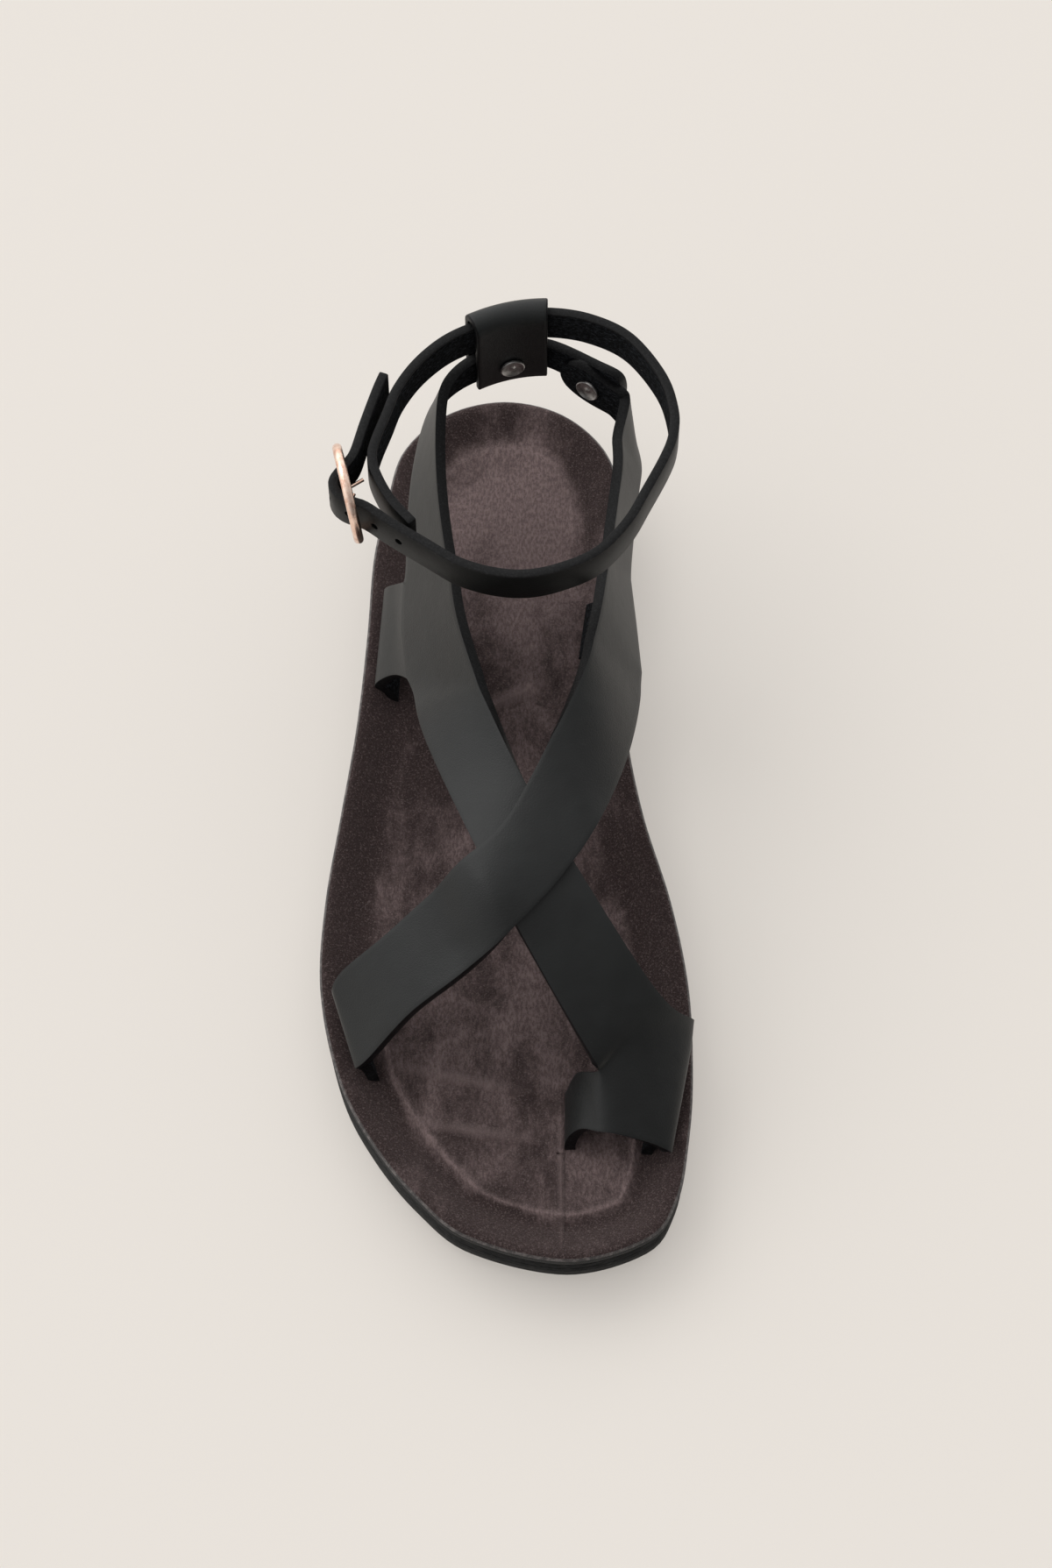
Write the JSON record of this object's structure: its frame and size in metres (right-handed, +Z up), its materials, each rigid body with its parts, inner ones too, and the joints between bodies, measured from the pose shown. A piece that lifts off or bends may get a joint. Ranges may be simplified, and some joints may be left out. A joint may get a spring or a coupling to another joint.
{
  "type": "ankle strap sandal",
  "caption": "Flat leather sandal with two wide straps crossing over the foot, a big-toe loop, a suede footbed and an ankle strap with a round buckle.",
  "frame": {"origin": "middle of the heel's contact with the floor", "axes": "+Y towards the back of the heel, the toe points to -Y; +X towards the inner side of the foot; +Z up from the floor"},
  "size_m": [0.0983, 0.2545, 0.0944],
  "materials": {
    "leather": "soft grained",
    "footbed_suede": "napped suede",
    "midsole_foam": "matt, ribbed",
    "outsole_rubber": "matt",
    "silver_metal": "satin",
    "rose_metal": "polished"
  },
  "bodies": {
    "root": {"outsole": "outsole_rubber", "midsole": "midsole_foam", "footbed": "footbed_suede", "upper": "leather", "ankle_strap": "leather", "heel_keeper": "leather", "keeper_rivet": "silver_metal", "heel_rivet": "silver_metal", "buckle_frame": "rose_metal", "buckle_prong": "rose_metal"}
  },
  "joints": []
}
